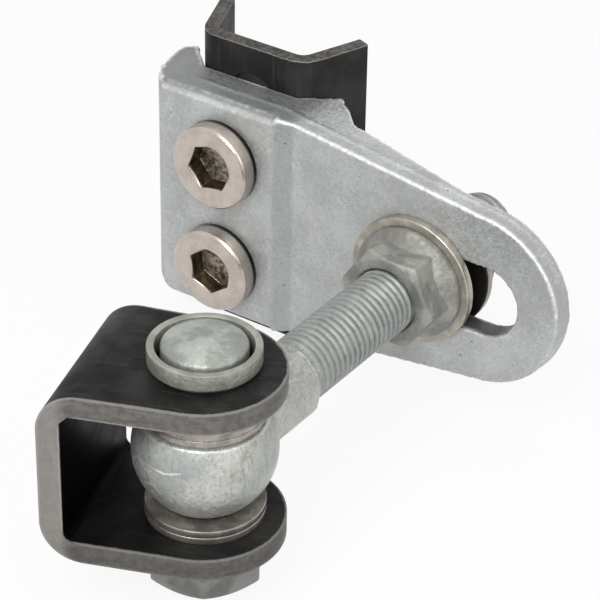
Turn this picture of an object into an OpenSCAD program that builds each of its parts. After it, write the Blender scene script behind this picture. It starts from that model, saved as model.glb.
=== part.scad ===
// Adjustable gate hinge. A folded U-bracket is welded to the post and holds a ball-eyed M20 bolt
// on an upright pin. The bolt passes through the slotted arm of a forged plate, between two nuts,
// and the plate is screwed through the long slot of a folded channel that is welded to the gate.
// Row frame: the origin is the centre of the bracket's back face, +X stands square off it, +Z is up.
// Strip frame: the same origin, with +X along the bracket's flanges, which stand askew to the back.
// Gate frame: the origin is the eye's centre, +Y runs along the eyebolt, +X along the plate's arm.

/* [Post bracket] */
// Thickness of the bracket's steel
bracket_t = 6.5; // [4:0.5:8]
// Clear height between the two flanges
bracket_clear = 41; // [40.5:0.5:60]
// Half the bracket's width at its back, from where its flanges taper a little
back_half = 24.1; // [22:0.1:30]
// Radius of the flanges' round ends
round_r = 23; // [21:0.5:30]
// Distance along the strip from the bracket's back face to the centre of its round ends
round_reach = 37.5; // [34:0.5:60]
// Distance along the strip from the bracket's back face to the pin's axis
pin_reach = 37.9; // [34:0.1:60]
// Distance of the pin's axis to one side of the strip's centre line
pin_side = 1; // [0:0.1:2]
// Angle by which the flanges stand askew to the back
skew = 3.1; // [0:0.1:8]
// Inside radius of the bracket's folds
bracket_fold = 2.5; // [1:0.5:7]
// Outside radius of the bracket's folds
bracket_corner = 12; // [8:0.5:14]

/* [Pivot] */
// Diameter of the pivot bolt's shank
pivot_d = 20; // [14:0.5:20.5]
// Diameter of the pivot bolt's domed head
pivot_head_d = 23.8; // [22.6:0.2:26]
// Height of the head's cylindrical edge
pivot_head_h = 6.8; // [3:0.2:9]
// Rise of the dome above the head's edge
pivot_dome = 2.6; // [1:0.2:4]
// Inside diameter of the ring that guards the head
guard_inner_d = 26.9; // [26.2:0.1:30]
// Wall of the guard ring
guard_wall = 2.1; // [2:0.1:4]
// Bevel round the foot of the guard ring
guard_foot = 1.7; // [0.5:0.1:1.9]
// Height of the guard ring
guard_h = 6.3; // [4:0.1:10]
// Width across flats of the pivot nut
pivot_nut_flats = 30; // [26:0.5:34]
// Height of the pivot nut
pivot_nut_h = 13.5; // [10:0.5:18]
// Turn of the pivot nut's flats about the pin
pivot_nut_turn = 48; // [0:1:60]
// Length of bolt that shows past the pivot nut
pivot_tail = 1.5; // [0:0.5:6]
// Outside diameter of the thrust washers above and below the eye
thrust_d = 33.6; // [26:0.2:40]
// Thickness of one thrust washer
thrust_t = 2.15; // [1:0.05:2.15]
// Diameter of the hole in a thrust washer
thrust_bore = 21; // [20.8:0.1:24]

/* [Eyebolt] */
// Diameter of the ball that forms the eye
ball_d = 40.4; // [36:0.2:44]
// Height of the eye's upper face above the bolt's axis
eye_up = 10.2; // [8:0.1:10.2]
// Depth of the eye's lower face below the bolt's axis
eye_down = 17.3; // [14:0.1:17.3]
// Diameter of the thread
thread_d = 20; // [16:0.5:21]
// Distance from the pin's axis to the end of the bolt
bolt_l = 146; // [138:1:200]
// Distance from the pin's axis to the end of the neck
neck_end = 38.5; // [30:0.5:44]
// Diameter across the neck's rounded corners
neck_d = 24; // [22.5:0.5:26]
// Width across the neck's forged flats
neck_flats = 21.4; // [20:0.2:22.4]
// Length of the taper from the neck down to the thread
neck_taper = 2.6; // [1:0.2:5]

/* [Clamp nuts] */
// Distance from the pin's axis to the face that the front washer bears on
arm_y = 105; // [90:0.5:112]
// Width across flats of the clamp nuts
nut_flats = 28; // [27:0.5:30]
// Height of a clamp nut with its flange
nut_h = 13.6; // [12:0.2:20]
// Diameter of the nut's flange
nut_flange_d = 35.8; // [34.8:0.2:40]
// Height of the nut's flange at its rim
nut_flange_h = 1.6; // [1:0.1:3]
// Height of the cone that rises from the flange's rim to the flats
nut_cone_h = 3.9; // [1:0.1:5]
// Turn of the front nut's flats about the bolt
front_nut_turn = 55; // [0:1:60]
// Turn of the rear nut's flats about the bolt
rear_nut_turn = 35; // [0:1:60]
// Outside diameter of the clamp washers
clamp_washer_d = 40.8; // [36:0.2:44]
// Thickness of a clamp washer
clamp_washer_t = 3; // [2:0.1:4]

/* [Gate plate] */
// Thickness of the plate's arm
arm_t = 8; // [6:0.5:12]
// How far the boss stands in front of the arm
boss_step = 2.4; // [1:0.2:4]
// Thickness of the boss from its front to the channel
boss_t = 16; // [13:0.5:20]
// Height of the boss
boss_h = 75.6; // [70:0.2:90]
// Width of the boss's front face
boss_w = 44.2; // [40:0.2:50]
// Distance from the bolt's axis back to the line of the screws
screw_back = 69.5; // [66:0.5:80]
// Distance from the bolt's axis out to the centre of the arm's round end
end_reach = 20.5; // [19:0.5:36]
// Radius of the arm's round end
end_r = 28; // [26:0.5:32]
// Distance from the bolt's axis out to the furthest that the bolt can lie in the slot
slot_reach = 23.5; // [18:0.5:24]
// Width of the arm's slot
slot_w = 23; // [22:0.2:26]
// Distance that the bolt can travel along the slot
slot_travel = 30; // [16:1:34]
// Size of the bevels and the rounding on the boss's front edges
edge_r = 2.2; // [1:0.2:2.4]
// How far the ears reach back beside the channel
ear_back = 9.8; // [6:0.2:12]
// Thickness of an ear at its tip
ear_t = 5.6; // [4:0.2:7]
// Gap between the rear washer and the ribs along the arm's edges, behind
rib_gap = 0.6; // [0.3:0.1:2]
// Height of the flash line left round the plate by the forging die
flash_h = 0.4; // [0.2:0.1:0.8]

/* [Screws and nut plate] */
// Diameter of the screws that hold the plate
screw_d = 16; // [12:0.5:17]
// Distance between the two screws
screw_pitch = 36.6; // [32:0.2:42]
// How far the pair of screws sits below the bolt's axis
screw_drop = 1; // [0:0.5:3]
// Diameter of a screw's head
screw_head_d = 27.2; // [24:0.2:30]
// Height of a screw's head
screw_head_h = 6.5; // [6.4:0.1:9]
// Width across flats of a screw's hexagon socket
socket_flats = 13.6; // [10:0.2:14]
// Depth of the hexagon socket
socket_depth = 6.2; // [3:0.1:6.3]
// Turn of the upper screw's socket
upper_turn = 50; // [0:1:60]
// Turn of the lower screw's socket
lower_turn = 24; // [0:1:60]
// Thickness of the nut plate inside the channel
nut_plate_t = 10; // [8:0.5:12]
// Width of the nut plate
nut_plate_w = 26; // [24:0.5:27]
// Height of the nut plate
nut_plate_h = 62; // [56:0.5:70]

/* [Gate channel] */
// Thickness of the channel's steel
channel_t = 4.5; // [3:0.1:5]
// Height of the channel
channel_h = 99; // [96:1:140]
// Width of the channel's web between the lines of its flanges
channel_w = 38; // [37:0.5:42]
// Length of a flange from the line of the web's face
flange_l = 24; // [18:0.5:30]
// Angle by which each flange splays outwards
splay = 21; // [15:1:24]
// Inside radius of the channel's folds
channel_fold = 3.5; // [2.5:0.5:4.5]
// Width of the channel's slot
channel_slot_w = 17.4; // [17.2:0.1:20]
// Length of the channel's slot from end to end
channel_slot_l = 80; // [60:1:84]

/* [Rest position] */
// Turn of the gate side about the pin, as it rests
gate_turn = 16.6; // [0:0.2:60]

/* [Hidden] */

$fn = 96;
// Overlap that lets one cut run clear through the face of another
cut = 1;
// Radial clearance of a shaft that turns or slides in its bore
running = 0.05;
// Radial clearance of a bolt in a bracket's hole
hole_play = 0.2;
// Number of thrust washers below the eye
lower_count = 2;
// Share of the hexagon's width that its chamfer leaves as a flat round face
chamfer_share = 0.95;
// Slope of a nut's chamfer
chamfer_angle = 30;
// Bevel at the end of a thread and on a screw's head
end_bevel = 1.4;
head_bevel = 0.9;
// Distance from a screw's threaded end to the back of the nut plate
screw_short = 0.5;
// Width of the sloping facet between the boss and the arm, and the drop of the edge across it
facet_w = 6;
arm_drop = 1.1;
// Play between the washers' reach and the ribs, and the rise of the plate's back beside it
pad_play = 1.1;
ear_foot = 3.5;
// Gap between an ear and the splayed flange beside it, and the room for the fold at its root
ear_gap = 2.2;
fold_room = 1.6;
// Bevel on an ear's tip
ear_bevel = 1.6;
// Where the ribs die away, from the bolt's axis
rib_end = 10;
// How far the arm's edges run in under its round end
end_sink = 0.1;
// How far the boss's front face is set towards the plate's outer edge from the line of the screws
boss_shift = 3.1;
// Amount by which the neck's taper runs in under the thread's full diameter
neck_sink = 0.6;
// Depth of the countersink in a clamp nut's outer face
nut_sink = 0.6;
// How far the top of the flange's cone lies inside the nut's flats
cone_sink = 0.4;
// Slope of an ear's bevelled tip, as its length over its width
ear_slope = 1.5;
// Facets of the round surfaces of the dome and the ball
ball_facets = 180;

// The pin's axis in the row frame
pin_x = pin_reach * cos(skew) - pin_side * sin(skew);
pin_y = pin_reach * sin(skew) + pin_side * cos(skew);

bracket_h = bracket_clear + 2 * bracket_t;
floor_z = -bracket_clear / 2;
rod_z = floor_z + lower_count * thrust_t + eye_down;
pivot_r = pivot_d / 2;
thread_r = thread_d / 2;

// Places along the bolt, from the eye's centre
front_washer_y = arm_y - clamp_washer_t;
rear_washer_y = arm_y + arm_t;
rear_nut_y = rear_washer_y + clamp_washer_t;

// Places on the plate: boss_y is its front, seat_y is the face that bears on the channel
boss_y = arm_y - boss_step;
seat_y = boss_y + boss_t;
back_y = arm_y + arm_t;
boss_left = -screw_back - boss_w / 2 - boss_shift;
boss_right = boss_left + boss_w;
slot_r = slot_w / 2;
slot_left = slot_reach - slot_travel;
flash_y = boss_y + boss_t / 2;
pad_left = slot_left - clamp_washer_d / 2 - pad_play;
tip_y = seat_y + ear_back;
tip_base_y = tip_y - ear_slope * ear_bevel;
ear_root = channel_w / 2 - fold_room;
ear_in = channel_w / 2 + ear_back * tan(splay) + ear_gap;
ear_out = ear_in + ear_t;

channel_out = channel_fold + channel_t;
web_half = channel_w / 2 - channel_out * tan((90 - splay) / 2);
channel_y = seat_y;
nut_plate_y = channel_y + channel_t;

// Turns a piece drawn in the gate frame into the row frame
module on_gate() {
    translate([pin_x, pin_y, rod_z]) rotate([0, 0, -gate_turn]) children();
}

// A solid of revolution about +Y, drawn as radius against distance along Y
module about_y() {
    rotate([-90, 0, 0]) mirror([0, 1, 0]) children();
}

// A hexagonal prism along +Z whose top corners are bevelled, as on a nut or a bolt's head
module hexagon(flats, h) {
    corner_r = flats / sqrt(3);
    face_r = flats / 2 * chamfer_share;
    drop = (corner_r - face_r) * tan(chamfer_angle);
    intersection() {
        cylinder(h = h, r = corner_r, $fn = 6);
        union() {
            cylinder(h = h - drop, r = corner_r + cut);
            translate([0, 0, h - drop]) cylinder(h = drop, r1 = corner_r, r2 = face_r);
        }
    }
}

// A flat ring along +Z
module ring(outer_d, bore_d, h) {
    difference() {
        cylinder(h = h, d = outer_d);
        translate([0, 0, -cut]) cylinder(h = h + 2 * cut, d = bore_d);
    }
}

// The U-bracket's folded section in X and Z, long enough to be trimmed to the strip's outline
module bracket_section() {
    outer_r = bracket_corner;
    reach = pin_reach + 2 * back_half;
    difference() {
        union() {
            translate([outer_r, -bracket_h / 2]) square([reach - outer_r, bracket_h]);
            translate([0, -bracket_h / 2 + outer_r]) square([reach, bracket_h - 2 * outer_r]);
            for (side = [-1, 1])
                translate([outer_r, side * (bracket_h / 2 - outer_r)]) circle(outer_r);
        }
        translate([bracket_t + bracket_fold, -bracket_clear / 2]) square([reach, bracket_clear]);
        translate([bracket_t, -bracket_clear / 2 + bracket_fold])
            square([reach, bracket_clear - 2 * bracket_fold]);
        for (side = [-1, 1])
            translate([outer_r, side * (bracket_clear / 2 - bracket_fold)]) circle(bracket_fold);
    }
}

// The strip's plan, askew to the back, with its round end
module strip_plan() {
    rotate([0, 0, skew]) {
        polygon([[-back_half, -back_half], [0, -back_half], [round_reach, -round_r],
                 [round_reach, round_r], [0, back_half], [-back_half, back_half]]);
        translate([round_reach, 0]) circle(round_r);
    }
}

module post_bracket() {
    color("#35322f")
    difference() {
        intersection() {
            rotate([90, 0, 0]) translate([0, 0, -2 * back_half])
                linear_extrude(4 * back_half) bracket_section();
            translate([0, 0, -bracket_h / 2 - cut]) linear_extrude(bracket_h + 2 * cut) strip_plan();
        }
        translate([pin_x, pin_y, -bracket_h / 2 - cut])
            cylinder(h = bracket_h + 2 * cut, r = pivot_r + hole_play);
    }
}

// The pivot bolt hangs from its domed head, with its nut below the bracket
module pivot_bolt() {
    tail = bracket_h + pivot_nut_h + pivot_tail;
    head_r = pivot_head_d / 2;
    dome_r = (head_r * head_r + pivot_dome * pivot_dome) / (2 * pivot_dome);
    color("#9a9c92")
    translate([pin_x, pin_y, bracket_h / 2]) {
        cylinder(h = pivot_head_h, r = head_r);
        intersection() {
            cylinder(h = pivot_head_h + pivot_dome + cut, r = head_r);
            translate([0, 0, pivot_head_h + pivot_dome - dome_r]) sphere(dome_r, $fn = ball_facets);
        }
        translate([0, 0, -tail + end_bevel]) cylinder(h = tail - end_bevel, r = pivot_r);
        translate([0, 0, -tail]) cylinder(h = end_bevel, r1 = pivot_r - end_bevel, r2 = pivot_r);
    }
}

module guard_ring() {
    color("#9a9c92")
    translate([pin_x, pin_y, bracket_h / 2]) difference() {
        outer_r = guard_inner_d / 2 + guard_wall;
        union() {
            cylinder(h = guard_foot, r1 = outer_r - guard_foot, r2 = outer_r);
            translate([0, 0, guard_foot]) cylinder(h = guard_h - guard_foot, r = outer_r);
        }
        translate([0, 0, -cut]) cylinder(h = guard_h + 2 * cut, d = guard_inner_d);
    }
}

module pivot_nut() {
    color("#8f8f88")
    translate([pin_x, pin_y, -bracket_h / 2]) mirror([0, 0, 1])
    difference() {
        rotate([0, 0, pivot_nut_turn]) hexagon(pivot_nut_flats, pivot_nut_h);
        translate([0, 0, -cut]) cylinder(h = pivot_nut_h + 2 * cut, r = pivot_r + running);
    }
}

// One thrust washer, counted upwards from the face that the stack stands on
module thrust_washer(base_z, place) {
    color("#a79d95")
    translate([pin_x, pin_y, base_z + place * thrust_t]) ring(thrust_d, thrust_bore, thrust_t);
}

// The ball eye, its flatted neck and the threaded rod are one forging
module eyebolt() {
    ball_r = ball_d / 2;
    neck_r = neck_d / 2;
    color("#b4b7b5")
    on_gate() difference() {
        union() {
            intersection() {
                sphere(ball_r, $fn = ball_facets);
                translate([-ball_d, -ball_d, -eye_down]) cube([2 * ball_d, 2 * ball_d, eye_down + eye_up]);
            }
            intersection() {
                about_y() union() {
                    cylinder(h = neck_end, r = neck_r);
                    translate([0, 0, neck_end]) cylinder(h = neck_taper, r1 = neck_r, r2 = thread_r - neck_sink);
                }
                translate([-neck_flats / 2, 0, -neck_flats / 2])
                    cube([neck_flats, neck_end + neck_taper, neck_flats]);
                translate([-ball_d, 0, -eye_down]) cube([2 * ball_d, neck_end + neck_taper, ball_d]);
            }
            about_y() {
                cylinder(h = bolt_l - end_bevel, r = thread_r);
                translate([0, 0, bolt_l - end_bevel])
                    cylinder(h = end_bevel, r1 = thread_r, r2 = thread_r - end_bevel);
            }
        }
        translate([0, 0, -ball_d]) cylinder(h = 2 * ball_d, r = pivot_r + running);
        translate([0, 0, eye_up]) cylinder(h = ball_d, r = thrust_d / 2 + cut);
    }
}

// A flanged nut whose flange bears at y = 0 and whose hexagon runs along +Z
module flange_nut(turn) {
    flange_r = nut_flange_d / 2;
    difference() {
        union() {
            rotate([0, 0, turn]) hexagon(nut_flats, nut_h);
            cylinder(h = nut_flange_h, r = flange_r);
            translate([0, 0, nut_flange_h])
                cylinder(h = nut_cone_h, r1 = flange_r, r2 = nut_flats / 2 - cone_sink);
        }
        translate([0, 0, -cut]) cylinder(h = nut_h + 2 * cut, r = thread_r + running);
        translate([0, 0, nut_h - nut_sink])
            cylinder(h = 2 * nut_sink, r1 = thread_r, r2 = thread_r + 2 * nut_sink);
    }
}

module front_nut() {
    color("#8d8e8b")
    on_gate() translate([0, front_washer_y, 0]) rotate([90, 0, 0]) flange_nut(front_nut_turn);
}

module rear_nut() {
    color("#8d8e8b")
    on_gate() translate([0, rear_nut_y, 0]) rotate([-90, 0, 0]) flange_nut(rear_nut_turn);
}

module clamp_washer(y) {
    color("#a79d95")
    on_gate() translate([0, y, 0]) rotate([-90, 0, 0])
        ring(clamp_washer_d, thread_d + 2 * running, clamp_washer_t);
}

// Point where the arm's upper edge, drawn from the boss, runs into the round end
function tangent_point(x, h) =
    let (dx = x - end_reach, far = sqrt(dx * dx + h * h), turn = atan2(h, dx) - acos(end_r / far))
    [end_reach + (end_r - end_sink) * cos(turn), (end_r - end_sink) * sin(turn)];

arm_start = boss_right + facet_w;
arm_half = boss_h / 2 - arm_drop;
touch = tangent_point(arm_start, arm_half);
taper = atan2(arm_half - touch[1], touch[0] - arm_start);

// Extrusions centred on z = 0, and along Y from in front of the boss to behind the ears
module along_z(h) {
    translate([0, 0, -h / 2]) linear_extrude(h) children();
}

module along_y() {
    translate([0, tip_y + cut, 0]) rotate([90, 0, 0])
        linear_extrude(tip_y - boss_y + 2 * cut) children();
}

// Mirrors its child to the left when the side is -1
module on_side(side) {
    mirror([side < 0 ? 1 : 0, 0, 0]) children();
}

// The plate's front outline in X and Z, grown by a margin
module plate_outline(grow) {
    left = -screw_back - ear_out - flash_h;
    normal = grow * [sin(taper), cos(taper)];
    upper = [[left, boss_h / 2 + grow], [boss_right, boss_h / 2 + grow], [arm_start, arm_half + grow],
             touch + normal];
    lower = [for (i = [len(upper) - 1:-1:0]) [upper[i][0], -upper[i][1]]];
    polygon(concat(upper, lower));
    translate([end_reach, 0]) circle(end_r + grow);
}

// The plate's plan in X and Y, from its front face back to the tips of its ears
module plate_plan() {
    right_end = end_reach + end_r + cut;
    polygon([[boss_left + edge_r, boss_y], [boss_right, boss_y], [arm_start, arm_y], [right_end, arm_y],
             [right_end, back_y], [pad_left, back_y], [pad_left - ear_foot, seat_y],
             [-screw_back + ear_out, tip_base_y], [-screw_back + ear_out - ear_bevel, tip_y],
             [-screw_back + ear_in + ear_bevel, tip_y], [-screw_back + ear_in, tip_base_y],
             [-screw_back + ear_root, seat_y], [-screw_back - ear_root, seat_y],
             [-screw_back - ear_in, tip_base_y], [-screw_back - ear_in - ear_bevel, tip_y],
             [-screw_back - ear_out + ear_bevel, tip_y], [-screw_back - ear_out, tip_base_y],
             [boss_left, boss_y + edge_r]]);
    translate([boss_left + edge_r, boss_y + edge_r]) circle(edge_r);
}

// The ribs that run out along the arm's edges, behind, and die away towards its end
module arm_ribs() {
    band = clamp_washer_d + 2 * rib_gap;
    intersection() {
        along_z(boss_h) polygon([[rib_end, arm_y + cut], [rib_end, back_y], [pad_left - cut, seat_y],
                                 [pad_left - ear_foot, seat_y], [pad_left - ear_foot, arm_y + cut]]);
        along_y() difference() {
            plate_outline(0);
            translate([pad_left - ear_foot - cut, -band / 2]) square([end_reach - pad_left, band]);
        }
    }
}

// The thin line of flash where the two forging dies met
module flash_line() {
    right_end = end_reach + end_r + flash_h;
    intersection() {
        translate([-screw_back - ear_out, flash_y - flash_h, -boss_h])
            cube([screw_back + ear_out + right_end, 2 * flash_h, 2 * boss_h]);
        along_y() plate_outline(flash_h);
        along_z(boss_h + 2 * flash_h) polygon([[boss_left - flash_h, boss_y], [right_end, boss_y],
                                               [right_end, tip_y], [-screw_back - ear_out - flash_h, tip_y]]);
    }
}

// What a bevel takes off an edge that runs along +X, between a front face and a top face
module edge_waste(length) {
    rotate([90, 0, 90]) linear_extrude(length)
        polygon([[-cut, cut], [edge_r + cut, cut], [-cut, -edge_r - cut]]);
}

module gate_plate() {
    color("#b8bbbb")
    on_gate() difference() {
        union() {
            intersection() {
                along_z(boss_h) plate_plan();
                along_y() plate_outline(0);
            }
            arm_ribs();
            flash_line();
        }
        // Slot for the eyebolt
        translate([0, arm_y - cut, 0]) rotate([-90, 0, 0]) linear_extrude(arm_t + boss_t) union() {
            for (x = [slot_left, slot_reach]) translate([x, 0]) circle(slot_r);
            translate([slot_left, -slot_r]) square([slot_travel, slot_w]);
        }
        // Holes for the screws
        for (side = [-1, 1]) translate([-screw_back, boss_y - cut, side * screw_pitch / 2 - screw_drop])
            rotate([-90, 0, 0]) cylinder(h = boss_t + 2 * cut, r = screw_d / 2 + hole_play);
        // Bevels along the boss's front edges
        for (side = [0, 1]) mirror([0, 0, side])
            translate([boss_left - cut, boss_y, boss_h / 2]) edge_waste(boss_w + cut);
    }
}

// A low-headed socket screw along +Y, with its head in front of the plate
module socket_screw(z, turn) {
    shank_l = boss_t + channel_t + nut_plate_t - screw_short;
    head_r = screw_head_d / 2;
    color("#b0a8a2")
    on_gate() translate([-screw_back, boss_y, z]) rotate([-90, 0, 0]) difference() {
        union() {
            cylinder(h = shank_l, d = screw_d);
            translate([0, 0, -screw_head_h + head_bevel]) cylinder(h = screw_head_h - head_bevel, r = head_r);
            translate([0, 0, -screw_head_h]) cylinder(h = head_bevel, r1 = head_r - head_bevel, r2 = head_r);
        }
        translate([0, 0, -screw_head_h - cut]) rotate([0, 0, turn])
            cylinder(h = socket_depth + cut, r = socket_flats / sqrt(3), $fn = 6);
    }
}

// The bar behind the web that the two screws pull against
module nut_plate() {
    color("#4a4744")
    on_gate() translate([-screw_back, nut_plate_y, -screw_drop]) difference() {
        translate([-nut_plate_w / 2, 0, -nut_plate_h / 2]) cube([nut_plate_w, nut_plate_t, nut_plate_h]);
        for (side = [-1, 1]) translate([0, -cut, side * screw_pitch / 2])
            rotate([-90, 0, 0]) cylinder(h = nut_plate_t + 2 * cut, r = screw_d / 2 + running);
    }
}

// Half of a region bounded by the web's line at y = depth and the flange's line the same depth in,
// run on to a given length of flange, in X and Y from the web's face
module channel_half(depth, length) {
    r = channel_out - depth;
    along = [sin(splay), cos(splay)];
    foot = [web_half + r * cos(splay), channel_out - r * sin(splay)];
    tip = foot + length * along;
    polygon([[-cut, depth], [web_half, depth], [web_half, channel_out], foot, tip, [-cut, tip[1]]]);
    translate([web_half, channel_out]) circle(r);
}

// The channel's folded section
module channel_section() {
    straight = flange_l - channel_out * tan((90 - splay) / 2);
    lip = straight * [sin(splay), cos(splay)];
    across = [cos(splay), -sin(splay)];
    foot = [web_half + channel_out * cos(splay), channel_out * (1 - sin(splay))];
    outer = foot + lip + cut * across;
    inner = foot + lip - (channel_t + cut) * across;
    intersection() {
        difference() {
            for (side = [-1, 1]) on_side(side) channel_half(0, straight + channel_t);
            for (side = [-1, 1]) on_side(side) channel_half(channel_t, straight + 2 * channel_t);
        }
        polygon([[-outer[0], -cut], [outer[0], -cut], outer, inner, [-inner[0], inner[1]], [-outer[0], outer[1]]]);
    }
}

module gate_channel() {
    color("#332f2c")
    on_gate() translate([-screw_back, channel_y, 0]) difference() {
        along_z(channel_h) channel_section();
        rotate([-90, 0, 0]) translate([0, 0, -cut]) linear_extrude(channel_t + 2 * cut) union() {
            straight = channel_slot_l - channel_slot_w;
            for (side = [-1, 1]) translate([0, side * straight / 2]) circle(channel_slot_w / 2);
            square([channel_slot_w, straight], center = true);
        }
    }
}

post_bracket();
pivot_bolt();
guard_ring();
pivot_nut();
thrust_washer(rod_z + eye_up, 0);  // upper_washer_1
thrust_washer(rod_z + eye_up, 1);  // upper_washer_2
thrust_washer(rod_z + eye_up, 2);  // upper_washer_3
thrust_washer(rod_z + eye_up, 3);  // upper_washer_4
thrust_washer(floor_z, 0);  // lower_washer_1
thrust_washer(floor_z, 1);  // lower_washer_2
eyebolt();
front_nut();
clamp_washer(front_washer_y);  // front_washer
clamp_washer(rear_washer_y);  // rear_washer
rear_nut();
gate_plate();
socket_screw(screw_pitch / 2 - screw_drop, upper_turn);  // upper_screw
socket_screw(-screw_pitch / 2 - screw_drop, lower_turn);  // lower_screw
nut_plate();
gate_channel();
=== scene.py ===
"""The look of an adjustable gate hinge, built around the frame of its solids.

The row frame has its origin at the centre of the post bracket's back face, +X square off it and +Z up.
The strip frame has the same origin and +X along the bracket's flanges, which stand askew to the back.
The gate frame has its origin at the eye's centre, +Y along the eyebolt and +X along the plate's arm.
"""
import math

import bmesh
import bpy
import numpy as np
from mathutils import Matrix, Vector


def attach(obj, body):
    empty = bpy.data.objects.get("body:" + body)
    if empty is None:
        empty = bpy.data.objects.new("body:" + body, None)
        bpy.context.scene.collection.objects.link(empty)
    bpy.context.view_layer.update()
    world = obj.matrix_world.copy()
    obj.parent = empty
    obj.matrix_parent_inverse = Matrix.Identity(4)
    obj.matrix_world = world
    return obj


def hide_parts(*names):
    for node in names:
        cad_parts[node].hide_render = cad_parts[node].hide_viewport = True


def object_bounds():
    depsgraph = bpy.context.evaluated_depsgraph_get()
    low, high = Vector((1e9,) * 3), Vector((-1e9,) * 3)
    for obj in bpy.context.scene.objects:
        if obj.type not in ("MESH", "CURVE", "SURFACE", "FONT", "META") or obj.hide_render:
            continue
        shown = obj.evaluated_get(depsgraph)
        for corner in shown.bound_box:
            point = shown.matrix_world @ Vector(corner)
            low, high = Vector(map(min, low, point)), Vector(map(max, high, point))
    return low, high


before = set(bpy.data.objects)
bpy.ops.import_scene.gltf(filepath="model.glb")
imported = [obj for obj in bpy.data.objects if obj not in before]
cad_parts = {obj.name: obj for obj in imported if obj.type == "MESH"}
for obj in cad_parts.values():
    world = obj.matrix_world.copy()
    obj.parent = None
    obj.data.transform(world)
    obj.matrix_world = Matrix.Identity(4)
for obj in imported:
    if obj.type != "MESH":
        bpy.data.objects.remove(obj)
cad_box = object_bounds()

MM = 0.001

# The strip's skew, the pin at 37.9 mm along the strip frame and 1 mm beside its middle line, the eyebolt's height,
# and the turn of the gate side about the pin.
SKEW = math.radians(3.1)
PIN_X = (37.9 * math.cos(SKEW) - math.sin(SKEW)) * MM
PIN_Y = (37.9 * math.sin(SKEW) + math.cos(SKEW)) * MM
ROD_Z = 1.1 * MM
GATE_TURN = math.radians(16.6)

# The bracket's strip: its thickness, the outer radius of its folds, half its height, the length from its back to
# the round end, and its half width at either end of that length.
STRIP_T, STRIP_FOLD_R, STRIP_TOP = 6.5 * MM, 12 * MM, 27 * MM
STRIP_LENGTH, STRIP_HALF_BACK, STRIP_HALF_END = 37.5 * MM, 24.1 * MM, 23 * MM
INNER_FOLD_R = 2.5 * MM

# The plate in the gate frame, in millimetres: its face, the ends of its ears, its underside, the outer side of the
# right ear, and the upright line on which the two screws stand.
PLATE_FACE, EAR_END, PLATE_UNDER, RIGHT_EAR, SCREW_LINE = 102.6, 128.4, -37.8, -38.9, -69.5


# ---------------------------------------------------------------- places

def gate_to_row(points):
    """Gate-frame points turned by the gate's rest angle about the pin and moved to the row frame."""
    x, y, z = np.asarray(points, float).T
    c, s = math.cos(GATE_TURN), math.sin(GATE_TURN)
    return np.column_stack([PIN_X + c * x + s * y, PIN_Y + c * y - s * x, z + ROD_Z])


def row_to_gate(points):
    """Row-frame points seen from the gate frame, the inverse of gate_to_row."""
    x, y, z = np.asarray(points, float).T
    c, s = math.cos(GATE_TURN), math.sin(GATE_TURN)
    x, y = x - PIN_X, y - PIN_Y
    return np.column_stack([c * x - s * y, s * x + c * y, z - ROD_Z])


# ---------------------------------------------------------------- meshes

def put_in_scene(name, mesh):
    """An object at the origin that holds the mesh."""
    piece = bpy.data.objects.new(name, mesh)
    bpy.context.scene.collection.objects.link(piece)
    return piece


def mesh_of(name, points, faces):
    """A mesh from an array of points and an array of faces, with its normals turned outwards."""
    mesh = bpy.data.meshes.new(name)
    mesh.from_pydata(points.tolist(), [], faces if isinstance(faces, list) else faces.tolist())
    b = bmesh.new()
    b.from_mesh(mesh)
    bmesh.ops.remove_doubles(b, verts=b.verts, dist=1e-7)
    bmesh.ops.recalc_face_normals(b, faces=b.faces)
    b.to_mesh(mesh)
    b.free()
    return mesh


def points_of(mesh):
    """The mesh's points as an array with one row each."""
    points = np.zeros(3 * len(mesh.vertices))
    mesh.vertices.foreach_get("co", points)
    return points.reshape(-1, 3)


def give(mesh, attribute, values):
    """A vertex attribute with one value from 0 to 1 for each point."""
    made = mesh.attributes.new(attribute, "FLOAT", "POINT")
    made.data.foreach_set("value", np.clip(values, 0, 1))


def ring_faces(rows, columns):
    """Quads between neighbouring rows of a grid whose columns close into a ring."""
    i, j = np.meshgrid(np.arange(rows - 1), np.arange(columns), indexing="ij")
    k = (j + 1) % columns
    return np.stack([i * columns + j, i * columns + k, (i + 1) * columns + k, (i + 1) * columns + j], -1).reshape(-1, 4)


def join_flat_faces(b):
    """Makes each flat area of triangles one face."""
    bmesh.ops.dissolve_limit(b, angle_limit=math.radians(0.5), verts=b.verts, edges=b.edges)


def merged(node, cut_at=None, mend=None):
    """A copy of a CAD node's mesh with its loose triangles joined, and flat triangles made into one face.
    cut_at = (point, normal) keeps only what lies behind that plane, and closes the cut. mend() changes the joined
    mesh before its faces are made."""
    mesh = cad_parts[node].data.copy()
    b = bmesh.new()
    b.from_mesh(mesh)
    bmesh.ops.remove_doubles(b, verts=b.verts, dist=2e-6)
    if cut_at:
        bmesh.ops.bisect_plane(b, geom=b.verts[:] + b.edges[:] + b.faces[:], plane_co=cut_at[0],
                               plane_no=cut_at[1], clear_outer=True)
        bmesh.ops.holes_fill(b, edges=b.edges, sides=0)
    if mend:
        mend(b)
    join_flat_faces(b)
    b.to_mesh(mesh)
    b.free()
    mesh.materials.clear()
    return mesh


def smooth_shaded(piece, angle):
    """Smooth shading, broken at edges sharper than the angle."""
    mesh = piece.data
    mesh.polygons.foreach_set("use_smooth", np.ones(len(mesh.polygons), bool))
    mesh.set_sharp_from_angle(angle=math.radians(angle))
    return piece


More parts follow.
